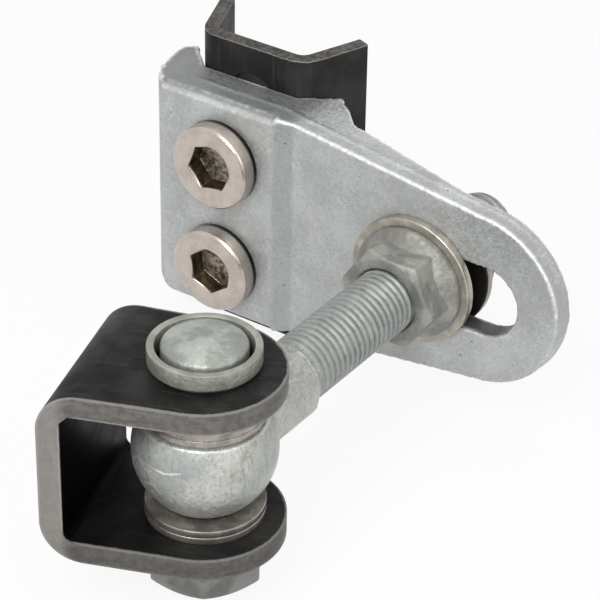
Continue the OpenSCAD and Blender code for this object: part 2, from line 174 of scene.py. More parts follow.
def bevelled(name, node, width, mend=None):
    """A merged copy of a CAD node whose edges are rounded by a bevel of that width."""
    piece = put_in_scene(name, merged(node, mend=mend))
    bevel = piece.modifiers.new("edge rounding", "BEVEL")
    bevel.width = width
    bevel.segments = 3
    bevel.limit_method = "ANGLE"
    bevel.angle_limit = math.radians(28)
    bevel.use_clamp_overlap = True
    bevel.harden_normals = True
    piece.data.polygons.foreach_set("use_smooth", np.ones(len(piece.data.polygons), bool))
    return piece


def baked_modifiers(piece):
    """The piece with its modifiers applied to its mesh."""
    graph = bpy.context.evaluated_depsgraph_get()
    mesh = bpy.data.meshes.new_from_object(piece.evaluated_get(graph))
    piece.modifiers.clear()
    piece.data = mesh
    return piece


def waves(points, size, seed, count=24):
    """A smooth pseudo-random field: the mean of many sine waves of about one wavelength in seeded directions,
    times the root of 2."""
    rng = np.random.default_rng(seed)
    ways = rng.normal(size=(count, 3))
    ways *= (2 * math.pi / size * rng.uniform(0.6, 1.5, count) / np.linalg.norm(ways, axis=1))[:, None]
    return np.sin(points @ ways.T + rng.uniform(0, 2 * math.pi, count)).mean(1) * math.sqrt(2)


def forged(name, mesh, voxel, rounds, swell, seed, shape=None):
    """A forging: the mesh is rebuilt in even voxels, its edges relaxed, its points moved by shape(), and each point
    moved along its normal by swell times the sum of a smooth random field of 9 mm and half of one of 3.5 mm."""
    piece = put_in_scene(name, mesh)
    remesh = piece.modifiers.new("even mesh", "REMESH")
    remesh.mode = "VOXEL"
    remesh.voxel_size = voxel
    relax = piece.modifiers.new("soft edges", "SMOOTH")
    relax.factor = 0.5
    relax.iterations = rounds
    baked_modifiers(piece)
    mesh = piece.data
    points = points_of(mesh)
    normals = np.zeros(points.size)
    mesh.vertex_normals.foreach_get("vector", normals)
    normals = normals.reshape(-1, 3)
    if shape:
        points = shape(points)
    ends = np.zeros(2 * len(mesh.edges), int)
    mesh.edges.foreach_get("vertices", ends)
    mark_edges(mesh, points, normals, ends.reshape(-1, 2))
    points += normals * (swell * (waves(points, 9 * MM, seed) + 0.5 * waves(points, 3.5 * MM, seed + 1)))[:, None]
    mesh.vertices.foreach_set("co", points.ravel())
    mesh.update()
    mesh.polygons.foreach_set("use_smooth", np.ones(len(mesh.polygons), bool))
    return piece


def mark_edges(mesh, points, normals, ends):
    """A vertex attribute, edge, that tells convex rims from flat faces: the mean lean of a point's neighbours
    below its normal, smoothed over its neighbours seven times, as 0 for hollow, 0.5 for flat and 1 for convex.
    Rims that face down count for a third, as the pale rims painted from it are partly a painted highlight from above."""
    a, b = ends.T
    way = points[b] - points[a]
    way /= np.maximum(np.linalg.norm(way, axis=1), 1e-9)[:, None]
    n = len(points)
    count = np.maximum(np.bincount(a, minlength=n) + np.bincount(b, minlength=n), 1)
    lean = (np.bincount(b, (way * normals[b]).sum(1), n) - np.bincount(a, (way * normals[a]).sum(1), n)) / count
    for _ in range(7):
        lean = 0.4 * lean + 0.6 * (np.bincount(a, lean[b], n) + np.bincount(b, lean[a], n)) / count
    # Upward rims weigh more, for the painted highlight.
    lean *= 0.33 + 0.67 * np.clip(1.4 * normals[:, 2] + 0.35, 0, 1)
    give(mesh, "edge", 0.5 + 0.5 * lean / 0.09)


def dressed(piece, body, node, finish):
    """The piece rides on its body, stands for its node and takes its finish."""
    piece.data.materials.clear()
    piece.data.materials.append(finish)
    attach(piece, body)
    if node:
        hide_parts(node)
    return piece


# ---------------------------------------------------------------- finishes

class Finish:
    """A metal finish as a tree of shader nodes, patterned by Object coordinates."""

    def __init__(self, name, metallic, roughness):
        self.material = bpy.data.materials.new(name)
        self.material.use_nodes = True
        self.tree = self.material.node_tree
        self.shader = next(n for n in self.tree.nodes if n.type == "BSDF_PRINCIPLED")
        self.shader.inputs["Metallic"].default_value = metallic
        self.shader.inputs["Roughness"].default_value = roughness
        self.place = self.add("ShaderNodeTexCoord").outputs["Object"]

    def put(self, socket, value):
        """Links a socket to another node's output, or sets it to a plain value."""
        if isinstance(value, bpy.types.NodeSocket):
            self.tree.links.new(value, socket)
        elif socket.type == "RGBA" and len(value) == 3:
            socket.default_value = (*value, 1)
        else:
            socket.default_value = value

    def add(self, kind, inputs=None, **settings):
        """A new node with its settings and its inputs, each a value or another node's output."""
        made = self.tree.nodes.new(kind)
        for key, value in settings.items():
            setattr(made, key, value)
        for key, value in (inputs or {}).items():
            self.put(made.inputs[key], value)
        return made

    def stretched(self, scale, turn=(0, 0, 0)):
        """Object coordinates turned and then stretched along each axis."""
        turned = self.add("ShaderNodeMapping", {"Vector": self.place, "Rotation": turn})
        return self.add("ShaderNodeMapping", {"Vector": turned.outputs[0], "Scale": scale}).outputs[0]

    def noise(self, scale, detail=4.0, rough=0.55, place=None):
        return self.add("ShaderNodeTexNoise", {"Vector": place or self.place, "Scale": scale, "Detail": detail,
                                               "Roughness": rough}).outputs["Fac"]

    def cells(self, scale, place=None, feature="F1"):
        """The distance from the middle of the nearest of many scattered cells, or from its edge."""
        return self.add("ShaderNodeTexVoronoi", {"Vector": place or self.place, "Scale": scale},
                        feature=feature).outputs["Distance"]

    def sum(self, operation, a, b=0.0, c=0.0):
        """One step of arithmetic on up to three values."""
        made = self.add("ShaderNodeMath", operation=operation)
        for socket, value in zip(made.inputs, (a, b, c)):
            self.put(socket, value)
        return made.outputs[0]

    def rise(self, value, low, high, to_low=0.0, to_high=1.0):
        """A smooth step from to_low to to_high as the value goes from low to high."""
        return self.add("ShaderNodeMapRange", {"Value": value, "From Min": low, "From Max": high, "To Min": to_low,
                                               "To Max": to_high}, interpolation_type="SMOOTHSTEP").outputs[0]

    def blend(self, share, a, b):
        """Colour a, with that share of colour b."""
        made = self.add("ShaderNodeMix", data_type="RGBA")
        self.put(made.inputs[0], share)
        self.put(made.inputs[6], a)
        self.put(made.inputs[7], b)
        return made.outputs[2]

    def axes(self):
        made = self.add("ShaderNodeSeparateXYZ", {"Vector": self.place})
        return made.outputs[0], made.outputs[1], made.outputs[2]

    def along(self, way, start=0.0):
        """The distance along a direction from a plane that lies start metres from the origin."""
        made = self.add("ShaderNodeVectorMath", operation="DOT_PRODUCT")
        self.put(made.inputs[0], self.place)
        self.put(made.inputs[1], way)
        return self.sum("SUBTRACT", made.outputs["Value"], start)

    def along_gate(self, way):
        """The distance from the eye's centre along a direction of the gate frame."""
        start, end = gate_to_row([(0, 0, 0), way])
        return self.along(tuple(end - start), float((end - start) @ start))

    def over(self, a, b):
        """The length of the hypotenuse over two sides."""
        return self.sum("SQRT", self.sum("ADD", self.sum("MULTIPLY", a, a), self.sum("MULTIPLY", b, b)))

    def ragged(self, value, scale, detail, rough, stray):
        """The value plus a noise that strays by half of that distance either way."""
        return self.sum("MULTIPLY_ADD", self.sum("SUBTRACT", self.noise(scale, detail, rough), 0.5), stray, value)

    def attribute(self, name):
        return self.add("ShaderNodeAttribute", attribute_name=name).outputs["Fac"]

    def bump(self, height, depth, under=None):
        """A bump whose height of 1 stands for that depth in metres."""
        made = self.add("ShaderNodeBump", {"Height": height, "Distance": depth, "Strength": 1.0})
        if under is not None:
            self.put(made.inputs["Normal"], under)
        return made.outputs[0]

    def done(self, colour, roughness, normal):
        """The finished material."""
        for socket, value in [("Base Color", colour), ("Roughness", roughness), ("Normal", normal)]:
            self.put(self.shader.inputs[socket], value)
        return self.material


def galvanised(name, pale, dark, pits=1.0, rough=0.42, more=None):
    """Hot-dip zinc: broad mottling, a sharp fine grain, small dark pits that come in swarms, pale fine scuffs and a
    skin that ripples a little, with pale convex rims that are partly rubbed wear and partly a painted highlight,
    strongest on rims that face up. more(finish, colour) may add a piece's own marks and painted light and shade."""
    f = Finish(name, 0.55, rough)
    broad = f.noise(60, 4, 0.55)
    grain = f.noise(800, 5, 0.66)
    fine = f.noise(2300, 3, 0.65)
    swarm = f.rise(f.noise(110, 3, 0.6), 0.46, 0.64)
    pit = f.sum("MULTIPLY", f.rise(f.cells(900), 0.22, 0.08), swarm)
    hole = f.sum("MULTIPLY", f.rise(f.cells(230), 0.09, 0.04), f.rise(f.noise(90, 2), 0.5, 0.6))
    mottle = f.sum("ADD", f.sum("MULTIPLY", broad, 0.5), f.sum("MULTIPLY", grain, 0.5))
    colour = f.blend(f.rise(mottle, 0.38, 0.62), dark, pale)
    colour = f.blend(f.rise(fine, 0.52, 0.72, 0.0, 0.5), colour, [c * 0.62 for c in dark])
    colour = f.blend(f.rise(fine, 0.44, 0.26, 0.0, 0.4), colour, [min(1, c * 1.35) for c in pale])
    scuff = f.cells(150, f.stretched((1, 0.12, 1), (0.5, 0.8, 0.3)), "DISTANCE_TO_EDGE")
    scuff = f.sum("MULTIPLY", f.rise(scuff, 0.02, 0.004), f.rise(f.noise(130, 2), 0.5, 0.62))
    colour = f.blend(f.sum("MULTIPLY", scuff, 0.4), colour, [min(1, c * 1.4) for c in pale])
    colour = f.blend(f.sum("MULTIPLY", pit, 0.6 * pits), colour, (0.12, 0.125, 0.12))
    colour = f.blend(f.sum("MULTIPLY", hole, 0.8 * pits), colour, (0.05, 0.05, 0.045))
    if more:
        colour = more(f, colour)
    # Pale rims: partly rubbed wear and partly a painted highlight, strongest where the rims face up.
    rubbed_and_lit_rims = f.rise(f.ragged(f.attribute("edge"), 520, 4, 0.7, 0.55), 0.64, 0.98)
    colour = f.blend(f.sum("MULTIPLY", rubbed_and_lit_rims, 0.6), colour, (0.82, 0.83, 0.82))
    roughness = f.sum("SUBTRACT", f.rise(grain, 0.3, 0.7, rough - 0.12, rough + 0.16), f.sum("MULTIPLY", rubbed_and_lit_rims, 0.1))
    skin = f.bump(f.sum("ADD", f.sum("MULTIPLY", grain, 0.7), f.sum("MULTIPLY", fine, 0.3)), 0.00018)
    hollows = f.sum("MULTIPLY_ADD", pit, -0.5, f.sum("MULTIPLY", hole, -1.5))
    return f.done(colour, roughness, f.bump(hollows, 0.0002, skin))


def painted_face_shade(f, colour):
    """Painted shade that blackens the face of the rear washer that lies on the plate, at 113 mm along the eyebolt."""
    shade = f.rise(f.along_gate((0, 1, 0)), 113.7 * MM, 113.2 * MM, 0.0, 0.93)
    return f.blend(shade, colour, (0.008, 0.007, 0.006))


def painted_screw_shade(f, colour):
    """Painted shade: brown-black walls down into a screw's socket, a dull mottled floor darkened less, and a side of
    the head that darkens towards its foot into a painted shadow."""
    depth = f.attribute("hollow")
    # Painted shade on the socket's walls and, less, on its floor.
    wall = f.blend(f.rise(f.noise(300, 3), 0.4, 0.6), (0.05, 0.038, 0.022), (0.12, 0.09, 0.055))
    colour = f.blend(f.rise(depth, 0.1, 0.2), colour, wall)
    floor = f.blend(f.rise(f.noise(600, 4, 0.7), 0.4, 0.6), (0.08, 0.068, 0.054), (0.36, 0.31, 0.26))
    colour = f.blend(f.rise(depth, 0.955, 0.985), colour, floor)
    # Painted shade down the head's side, and a painted shadow at its foot.
    side = f.rise(f.attribute("foot"), 0.0, 1.0)
    colour = f.blend(f.sum("MULTIPLY", side, 0.5), colour, (0.2, 0.2, 0.16))
    return f.blend(f.rise(side, 0.72, 0.92), colour, (0.006, 0.006, 0.005))


def stainless(name, pale, dark, rough, more=None):
    """Turned stainless steel: warm, with fine streaks and soft stains. more(finish, colour) adds a piece's painted
    shade.
    """
    f = Finish(name, 0.75, rough)
    stain = f.noise(180, 3, 0.5)
    grain = f.noise(1500, 4, 0.6)
    colour = f.blend(f.rise(stain, 0.35, 0.65), dark, pale)
    colour = f.blend(f.rise(grain, 0.52, 0.8, 0.0, 0.4), colour, [c * 0.55 for c in dark])
    if more:
        colour = more(f, colour)
    return f.done(colour, f.rise(stain, 0.3, 0.7, rough + 0.1, rough - 0.04), f.bump(grain, 0.00003))


def zinc_plated(name, pale, dark, rough=0.38):
    """Thick zinc plate: greenish grey, satin, with darker specks and a lumpy skin."""
    f = Finish(name, 0.4, rough)
    broad = f.noise(140, 3, 0.55)
    grain = f.noise(900, 5, 0.65)
    speck = f.rise(f.cells(500), 0.14, 0.05)
    speck = f.sum("MULTIPLY", speck, f.rise(f.noise(220, 2), 0.5, 0.6))
    colour = f.blend(f.rise(broad, 0.38, 0.62), dark, pale)
    colour = f.blend(f.sum("MULTIPLY", speck, 0.7), colour, (0.05, 0.05, 0.045))
    lumps = f.bump(f.noise(420, 2, 0.5), 0.0004)
    return f.done(colour, f.rise(grain, 0.3, 0.7, rough - 0.1, rough + 0.15),
                  f.bump(f.sum("SUBTRACT", grain, speck), 0.00015, lumps))


def mill_scale(f, streak_turn):
    """Dark mill scale with long faint streaks, cloudy patches and a few fine scratches."""
    cloud = f.noise(70, 4, 0.6)
    streak = f.noise(60, 3, 0.5, f.stretched((14, 1, 1), (0, 0, streak_turn)))
    grain = f.noise(1400, 3, 0.6)
    colour = f.blend(f.rise(cloud, 0.35, 0.68), (0.013, 0.013, 0.0128), (0.029, 0.0285, 0.0278))
    colour = f.blend(f.rise(streak, 0.56, 0.74, 0.0, 0.45), colour, (0.05, 0.048, 0.045))
    colour = f.blend(f.rise(grain, 0.6, 0.8, 0.0, 0.3), colour, (0.07, 0.068, 0.065))
    scratch = f.cells(38, f.stretched((16, 0.5, 1), (0, 0, streak_turn + 0.35)), "DISTANCE_TO_EDGE")
    scratch = f.sum("MULTIPLY", f.rise(scratch, 0.012, 0.002), f.rise(f.noise(45, 2), 0.55, 0.66))
    colour = f.blend(f.sum("MULTIPLY", scratch, 0.4), colour, (0.16, 0.155, 0.15))
    return colour, cloud, grain


def cut_steel(f, across, along, thickness):
    """Brown-grey sheared steel: fine lines that run along the edge, a paler rim at either skin that is a painted
    highlight, and soft mottling.
    across is the depth below one skin and along the place on the edge's length."""
    lined = f.add("ShaderNodeCombineXYZ", {"X": across, "Y": f.sum("MULTIPLY", along, 0.07)}).outputs[0]
    lines = f.noise(1900, 3, 0.6, lined)
    mottled = f.noise(420, 4, 0.6)
    colour = f.blend(f.rise(mottled, 0.3, 0.7), (0.125, 0.117, 0.108), (0.2, 0.19, 0.177))
    colour = f.blend(f.rise(lines, 0.45, 0.75, 0.0, 0.3), colour, (0.27, 0.26, 0.245))
    colour = f.blend(f.rise(lines, 0.5, 0.28, 0.0, 0.35), colour, (0.075, 0.068, 0.062))
    ragged = f.ragged(across, 900, 3, 0.6, 0.9 * MM)
    # Pale rims at either skin, a painted highlight.
    rim = f.sum("MAXIMUM", f.rise(ragged, 0.75 * MM, 0.35 * MM),
                f.rise(ragged, thickness - 0.7 * MM, thickness - 0.3 * MM))
    return f.blend(f.sum("MULTIPLY", rim, 0.55), colour, (0.38, 0.37, 0.35)), f.sum("ADD", lines, mottled)


def bracket_steel():
    """Mill scale on the skins and bare cut steel on the outline. Painted shade darkens the cut steel, more below,
    painted light makes it paler on the web, and painted shade blackens the skins inside. The outline is where the
    distance from the strip's middle line, |y| beside the flange and the radius round its end beyond it, passes the half
    width there, which tapers. The depth below the outer skin is the fold's radius less the distance to the fold's
    centre."""
    f = Finish("bracket_steel", 0.2, 0.5)
    f.shader.inputs["Specular IOR Level"].default_value = 0.06
    x = f.along((math.cos(SKEW), math.sin(SKEW), 0))
    y = f.along((-math.sin(SKEW), math.cos(SKEW), 0))
    past_end = f.sum("MAXIMUM", f.sum("SUBTRACT", x, STRIP_LENGTH), 0.0)
    half = f.rise(x, 0.0, STRIP_LENGTH, STRIP_HALF_BACK, STRIP_HALF_END)
    past = f.sum("SUBTRACT", f.over(past_end, y), half)
    edge = f.rise(f.ragged(past, 480, 4, 0.65, 0.8 * MM), -0.75 * MM, -0.3 * MM)
    row_x, _, z = f.axes()
    below_top = f.sum("SUBTRACT", STRIP_TOP, f.sum("ABSOLUTE", z))
    a = f.sum("MAXIMUM", f.sum("SUBTRACT", STRIP_FOLD_R, row_x), 0.0)
    b = f.sum("MAXIMUM", f.sum("SUBTRACT", STRIP_FOLD_R, below_top), 0.0)
    depth = f.sum("SUBTRACT", STRIP_FOLD_R, f.over(a, b))
    scale, cloud, grain = mill_scale(f, 1.5)
    cut_face, lines = cut_steel(f, depth, f.sum("ADD", row_x, z), STRIP_T)
    # Painted shade darkens the cut steel, more below, and painted light makes it paler on the web.
    below = f.rise(z, -18 * MM, -24 * MM)
    web_light = f.rise(row_x, 9 * MM, 5 * MM)
    cut_face = f.blend(f.sum("MULTIPLY_ADD", below, 0.25, 0.28), cut_face, (0.04, 0.037, 0.034))
    cut_face = f.blend(f.sum("MULTIPLY", web_light, 0.33), cut_face, (0.42, 0.4, 0.37))
    # Painted shade blackens the skins inside the bracket.
    inside = f.sum("MULTIPLY", f.rise(f.sum("ABSOLUTE", z), 20.9 * MM, 20.3 * MM), f.rise(row_x, 45 * MM, 12 * MM))
    scale = f.blend(inside, scale, (0.001, 0.001, 0.001))
    colour = f.blend(edge, scale, cut_face)
    rough = f.blend(edge, f.rise(cloud, 0.3, 0.7, 0.56, 0.42), (0.46, 0.46, 0.46))
    return f.done(colour, rough, f.bump(f.sum("MULTIPLY_ADD", f.sum("MULTIPLY", lines, edge), 1.2, grain), 0.00005))


def channel_steel():
    """Mill scale on the skins, darkened towards the left by painted shade, and bare cut steel on the two ends, where
    |z| passes half the height, with a pale rim where they meet that is a painted highlight."""
    f = Finish("channel_steel", 0.2, 0.5)
    f.shader.inputs["Specular IOR Level"].default_value = 0.2
    ragged = f.ragged(f.sum("ABSOLUTE", f.sum("SUBTRACT", f.axes()[2], ROD_Z)), 480, 4, 0.65, 0.7 * MM)
    edge = f.rise(ragged, 49.0 * MM, 49.4 * MM)
    scale, cloud, grain = mill_scale(f, 0.4)
    # Painted shade towards the left bend.
    left = f.rise(f.along_gate((1, 0, 0)), -76 * MM, -88 * MM)
    scale = f.blend(f.sum("MULTIPLY", left, 0.7), scale, (0.003, 0.003, 0.003))
    mottled = f.noise(600, 4, 0.6)
    cut_face = f.blend(f.rise(mottled, 0.3, 0.7), (0.03, 0.027, 0.024), (0.11, 0.1, 0.09))
    cut_face = f.blend(f.rise(f.noise(1500, 2), 0.62, 0.72, 0.0, 0.5), cut_face, (0.26, 0.25, 0.24))
    # A pale rim where skin and cut end meet, a painted highlight.
    rim = f.rise(f.sum("ABSOLUTE", f.sum("SUBTRACT", ragged, 49.15 * MM)), 0.2 * MM, 0.05 * MM)
    colour = f.blend(f.sum("MULTIPLY", rim, 0.6), f.blend(edge, scale, cut_face), (0.36, 0.35, 0.33))
    return f.done(colour, f.rise(cloud, 0.3, 0.7, 0.58, 0.42), f.bump(grain, 0.00006))


def plain_steel():
    """Plain steel for the bar inside the channel, blackened by painted shade."""
    f = Finish("dark_steel", 0.2, 0.5)
    f.shader.inputs["Specular IOR Level"].default_value = 0.1
    colour, _, grain = mill_scale(f, 0.0)
    # Painted shade blackens the bar, which lies in shade behind the slot.
    colour = f.blend(0.7, colour, (0.003, 0.003, 0.003))
    return f.done(colour, 0.5, f.bump(grain, 0.00006))


# ---------------------------------------------------------------- the eyebolt

THREAD_R = 10 * MM
PITCH = 2.5 * MM
THREAD_DEPTH = 1.2 * MM
THREAD_START = 40.2 * MM
BOLT_END = 146 * MM


def bolt_thread():
    """A threaded rod along +Y of the gate frame. At the length y and the turn a, the phase p is y / pitch - a / 2 pi.
    The radius is the thread's radius less its depth times a rounded wave of p, which is flat at the crest. The
    depth grows from the neck on and varies smoothly, as zinc clogs the thread, and a bevel ends the rod."""
    per_pitch, around = 12, 72
    rows = int((BOLT_END - THREAD_START) / PITCH * per_pitch)
    y = np.linspace(THREAD_START, BOLT_END, rows)[:, None]
    a = np.linspace(0, 2 * math.pi, around, endpoint=False)[None, :]
    p = y / PITCH - a / (2 * math.pi)
    wave = 0.5 - 0.5 * np.cos(2 * math.pi * p)
    groove = np.clip((wave - 0.3) / 0.62, 0, 1) ** 0.8
    spots = np.stack([THREAD_R * np.cos(a) + 0 * y, y + 0 * a, THREAD_R * np.sin(a) + 0 * y], -1).reshape(-1, 3)
    clogged = 0.78 + 0.34 * waves(spots, 9 * MM, 31).reshape(p.shape)
    depth = THREAD_DEPTH * np.clip(0.25 + (y - THREAD_START) / (16 * PITCH), 0.25, 0.8) * clogged.clip(0.35, 1.25)
    outer = THREAD_R - np.clip(1.5 * MM - (BOLT_END - y), 0, None)
    r = np.minimum(THREAD_R - 0.1 * MM * (1 - clogged) - depth * groove, outer)
    points = np.stack([r * np.cos(a), y + 0 * a, r * np.sin(a)], -1).reshape(-1, 3)
    faces = ring_faces(rows, around).tolist()
    faces += [list(range(around)), list(range((rows - 1) * around, rows * around))]
    mesh = mesh_of("bolt_thread", gate_to_row(points), faces)
    x, _, z = row_to_gate(points_of(mesh)).T
    give(mesh, "crest", 1 - (THREAD_R - np.hypot(x, z)) / THREAD_DEPTH)
    return smooth_shaded(put_in_scene("bolt_thread", mesh), 60)


def thread_zinc():
    """Galvanised thread: pale on its crests, dull and darkened by painted shade in its grooves, and clogged in long
    patches.
    """
    f = Finish("thread_zinc", 0.4, 0.42)
    crest = f.attribute("crest")
    grain = f.noise(700, 5, 0.68)
    # Painted shade darkens the grooves; worn is the ragged share of the crests' pale colour.
    worn = f.ragged(crest, 700, 5, 0.68, 1.1)
    colour = f.blend(f.rise(worn, 0.2, 1.0), (0.12, 0.125, 0.115), (0.29, 0.305, 0.29))
    colour = f.blend(f.rise(f.noise(2200, 3), 0.55, 0.7, 0.0, 0.5), colour, (0.12, 0.124, 0.116))
    colour = f.blend(f.rise(f.noise(160, 3), 0.5, 0.65, 0.0, 0.3), colour, (0.42, 0.44, 0.425))
    clog = f.rise(f.noise(260, 4, 0.65, f.stretched((1, 0.5, 1), (0.4, 0.2, 0))), 0.5, 0.62, 0.0, 0.55)
    colour = f.blend(clog, colour, (0.27, 0.285, 0.275))
    return f.done(colour, f.rise(grain, 0.3, 0.7, 0.3, 0.52), f.bump(grain, 0.0002))


def near_line(f, start, end, width, stray):
    """1 within a width of the straight line between two points of the gate frame, in mm, and 0 beyond it, with an
    edge that strays."""
    a, b = gate_to_row(np.array([start, end], float) * MM)
    way = b - a
    length = float(np.linalg.norm(way))
    way = way / length
    on = f.add("ShaderNodeVectorMath", {0: f.place, 1: tuple(a)}, operation="SUBTRACT").outputs[0]
    travel = f.add("ShaderNodeVectorMath", {0: on, 1: tuple(way)}, operation="DOT_PRODUCT").outputs["Value"]
    travel = f.sum("MINIMUM", f.sum("MAXIMUM", travel, 0.0), length)
    back = f.add("ShaderNodeVectorMath", {0: tuple(way)}, operation="SCALE")
    f.put(back.inputs["Scale"], travel)
    off = f.add("ShaderNodeVectorMath", {0: on, 1: back.outputs[0]}, operation="SUBTRACT").outputs[0]
    far = f.add("ShaderNodeVectorMath", {0: off}, operation="LENGTH").outputs["Value"]
    return f.rise(f.ragged(far, 300, 3, 0.6, stray * MM), width * MM, 0.55 * width * MM)


def ball_marks(f, colour):
    """The ball, darker and bluer than its neck, with a pale painted highlight along the short ridge left by the
    forging, fine upright scratches on its right and a brown smear above them."""
    centre = gate_to_row([(0, 0, 0)])[0]
    out = f.add("ShaderNodeVectorMath", {0: f.place, 1: tuple(centre)}, operation="SUBTRACT").outputs[0]
    out = f.add("ShaderNodeVectorMath", {0: out}, operation="LENGTH").outputs["Value"]
    blotch = f.rise(f.noise(75, 4, 0.65), 0.36, 0.64, 0.0, 0.55)
    colour = f.blend(f.sum("MULTIPLY", f.rise(out, 21.2 * MM, 20.2 * MM), blotch), colour, (0.24, 0.262, 0.265))
    scratch = f.noise(900, 3, 0.6, f.stretched((1, 1, 0.06)))
    scratch = f.sum("MULTIPLY", f.rise(scratch, 0.53, 0.62), f.rise(f.along((0.95, -0.3, 0), 0.046), 0.0, 8 * MM))
    colour = f.blend(f.sum("MULTIPLY", scratch, 0.3), colour, (0.15, 0.155, 0.15))
    # The forging ridge's pale line is a painted highlight.
    ridge = f.sum("MAXIMUM", near_line(f, (-3.6, -19.7, 2.3), (1.5, -20.0, 2.3), 0.4, 1.1),
                  near_line(f, (1.5, -20.0, 2.3), (6.0, -18.9, 3.6), 0.4, 1.1))
    smear = f.sum("MAXIMUM", near_line(f, (16.8, -10.8, 3.1), (17.6, -7.1, 6.8), 1.3, 2.6),
                  near_line(f, (17.6, -7.1, 6.8), (18.0, -0.8, 9.2), 1.5, 2.6))
    colour = f.blend(f.sum("MULTIPLY", ridge, 0.7), colour, (0.75, 0.76, 0.73))
    rim = f.sum("MULTIPLY", smear, f.rise(f.noise(420, 3), 0.4, 0.55))
    return f.blend(f.sum("MULTIPLY", rim, 0.6), colour, (0.3, 0.27, 0.19))


def build_eyebolt():
    """The forged eye and neck, cut off just past the thread's start, and the threaded rod."""
    centre, cut_point, ahead = gate_to_row([(0, 0, 0), (0, 42.0 * MM, 0), (0, 1, 0)])
    eye = forged("ball_eye", merged("eyebolt", (cut_point, ahead - centre)), 0.55 * MM, 5, 0.05 * MM, 11)
    dressed(eye, "eye_side", "eyebolt",
            galvanised("ball_zinc", (0.5, 0.51, 0.48), (0.31, 0.315, 0.285), 1.2, 0.38, ball_marks))
    dressed(bolt_thread(), "eye_side", None, thread_zinc())


# ---------------------------------------------------------------- nuts and screws

def hexagon_radius(a, flats):
    """The radius at the turn a of a hexagon with softly rounded corners: half the flats over the 70-norm of the
    cosines between a and the six flats."""
    facing = np.cos(a[None, :] - np.arange(6)[:, None] * math.pi / 3).clip(0)
    return flats / 2 / (facing ** 70).sum(0) ** (1 / 70)


def soft_corners(profile, radius):
    """The profile of each column, an array of rows x columns x (radius, height), with every corner replaced by
    four points on the quadratic curve between the points one radius before and after it. Points on the axis stay."""
    before, after = np.roll(profile, 1, 0) - profile, np.roll(profile, -1, 0) - profile
    rows = []
    for corner, back, on in zip(profile, before, after):
        if corner[:, 0].max() < 1e-9:
            rows.append(corner)
            continue
        a = corner + back * np.minimum(0.45, radius / np.maximum(np.linalg.norm(back, axis=1), 1e-9))[:, None]
        b = corner + on * np.minimum(0.45, radius / np.maximum(np.linalg.norm(on, axis=1), 1e-9))[:, None]
        rows += [(1 - t) ** 2 * a + 2 * t * (1 - t) * corner + t * t * b for t in (0, 1 / 3, 2 / 3, 1)]
    return np.array(rows)


def nut(name, flats, height, flange_r, flange_h, cone_h, placed, turn):
    """A hexagon nut with an M20 bore, with a flange unless its radius is 0. Each column runs from the foot, or up
    the flange's side and over its cone, up the flat to the height where the 30 degree chamfer cone crosses it, over
    the face and down the bore."""
    a = np.linspace(0, 2 * math.pi, 180, endpoint=False)
    r = hexagon_radius(a, flats)
    face_r = flats / 2 * 0.95
    drop = (r - face_r) * math.tan(math.radians(30))
    full = np.ones_like(a)
    if flange_r:
        foot = flange_h + cone_h * (flange_r - r) / (flange_r - flats / 2)
        rows = [(flange_r * full, 0 * full), (flange_r * full, flange_h * full), (r, foot)]
    else:
        rows = [(face_r * full, 0 * full), (r, drop)]
    bore_r, mouth = 10.05 * MM, 0.6 * MM
    rows += [(r, height - drop), (face_r * full, height * full), ((bore_r + mouth) * full, height * full),
             (bore_r * full, (height - mouth) * full), (bore_r * full, 0 * full)]
    profile = soft_corners(np.array(rows).transpose(0, 2, 1), 0.55 * MM)
    return turned(name, np.concatenate([profile, profile[:1]]), placed, a + turn)


def turned(name, profile, placed, a):
    """A piece whose rows of (radius, height) stand at the turns a round the axis, moved by placed()."""
    radius, z = profile[:, :, 0], profile[:, :, 1]
    points = np.stack([radius * np.cos(a), radius * np.sin(a), z], -1).reshape(-1, 3)
    return smooth_shaded(put_in_scene(name, mesh_of(name, placed(points), ring_faces(len(profile), len(a)))), 50)


def socket_screw(name, height, turn):
    """A low-headed screw: each column runs from the axis over the socket's floor, up its hexagonal wall to the
    height where a shallow countersink cone crosses it, over the head's face and side, and down the shank. The
    attribute hollow grows with the depth in the socket, and foot with the depth down the head's side."""
    a = np.linspace(0, 2 * math.pi, 180, endpoint=False)
    wall = hexagon_radius(a, 13.6 * MM)
    full = np.ones_like(a)
    head_h, head_r, head_rim = 6.5 * MM, 13.6 * MM, 0.7 * MM
    sink_r, shank_r, shank_end = 7.95 * MM, 8 * MM, -30 * MM
    rows = [(0 * full, -0.2 * MM * full), (wall, 0.3 * MM * full), (wall, head_h - (sink_r - wall) * 0.6)]
    rows += [(r * full, h * full) for r, h in [(sink_r, head_h), (head_r - head_rim, head_h),
                                               (head_r, head_h - head_rim), (head_r, 3.5 * MM), (head_r, 1.5 * MM),
                                               (head_r, 0), (shank_r, 0), (shank_r, shank_end), (0, shank_end)]]
    profile = soft_corners(np.array(rows).transpose(0, 2, 1), 0.22 * MM)
    seat = np.array([SCREW_LINE, PLATE_FACE, height]) * MM

    def in_plate(points):
        return gate_to_row(seat + points[:, [0, 2, 1]] * (1, -1, -1))
    piece = turned(name, profile, in_plate, a + math.radians(turn))
    x, y, z = (row_to_gate(points_of(piece.data)) - seat).T
    r = np.hypot(x, z)
    give(piece.data, "hollow", (y + head_h) * (r < sink_r - 0.05 * MM) * (y < 1 * MM) / (6.2 * MM))
    give(piece.data, "foot", (y + 6.2 * MM) * (r > head_r - 0.4 * MM) / (6.2 * MM))
    return piece


# ---------------------------------------------------------------- the other pieces

def round_corner(a, b, radius):
    """Points given as distances (a, b) from a square corner, both growing inwards, moved so that the corner becomes
    an arc: within the radius of the corner, the offset from the arc's centre is scaled by its larger cosine."""
    u, v = np.clip(radius - a, 0, None), np.clip(radius - b, 0, None)
    inside = (u > 0) & (v > 0)
    far = np.maximum(np.hypot(u, v), 1e-12)
    scale = np.where(inside, np.maximum(u, v) / far, 1.0)
    return np.where(inside, radius - u * scale, a), np.where(inside, radius - v * scale, b)


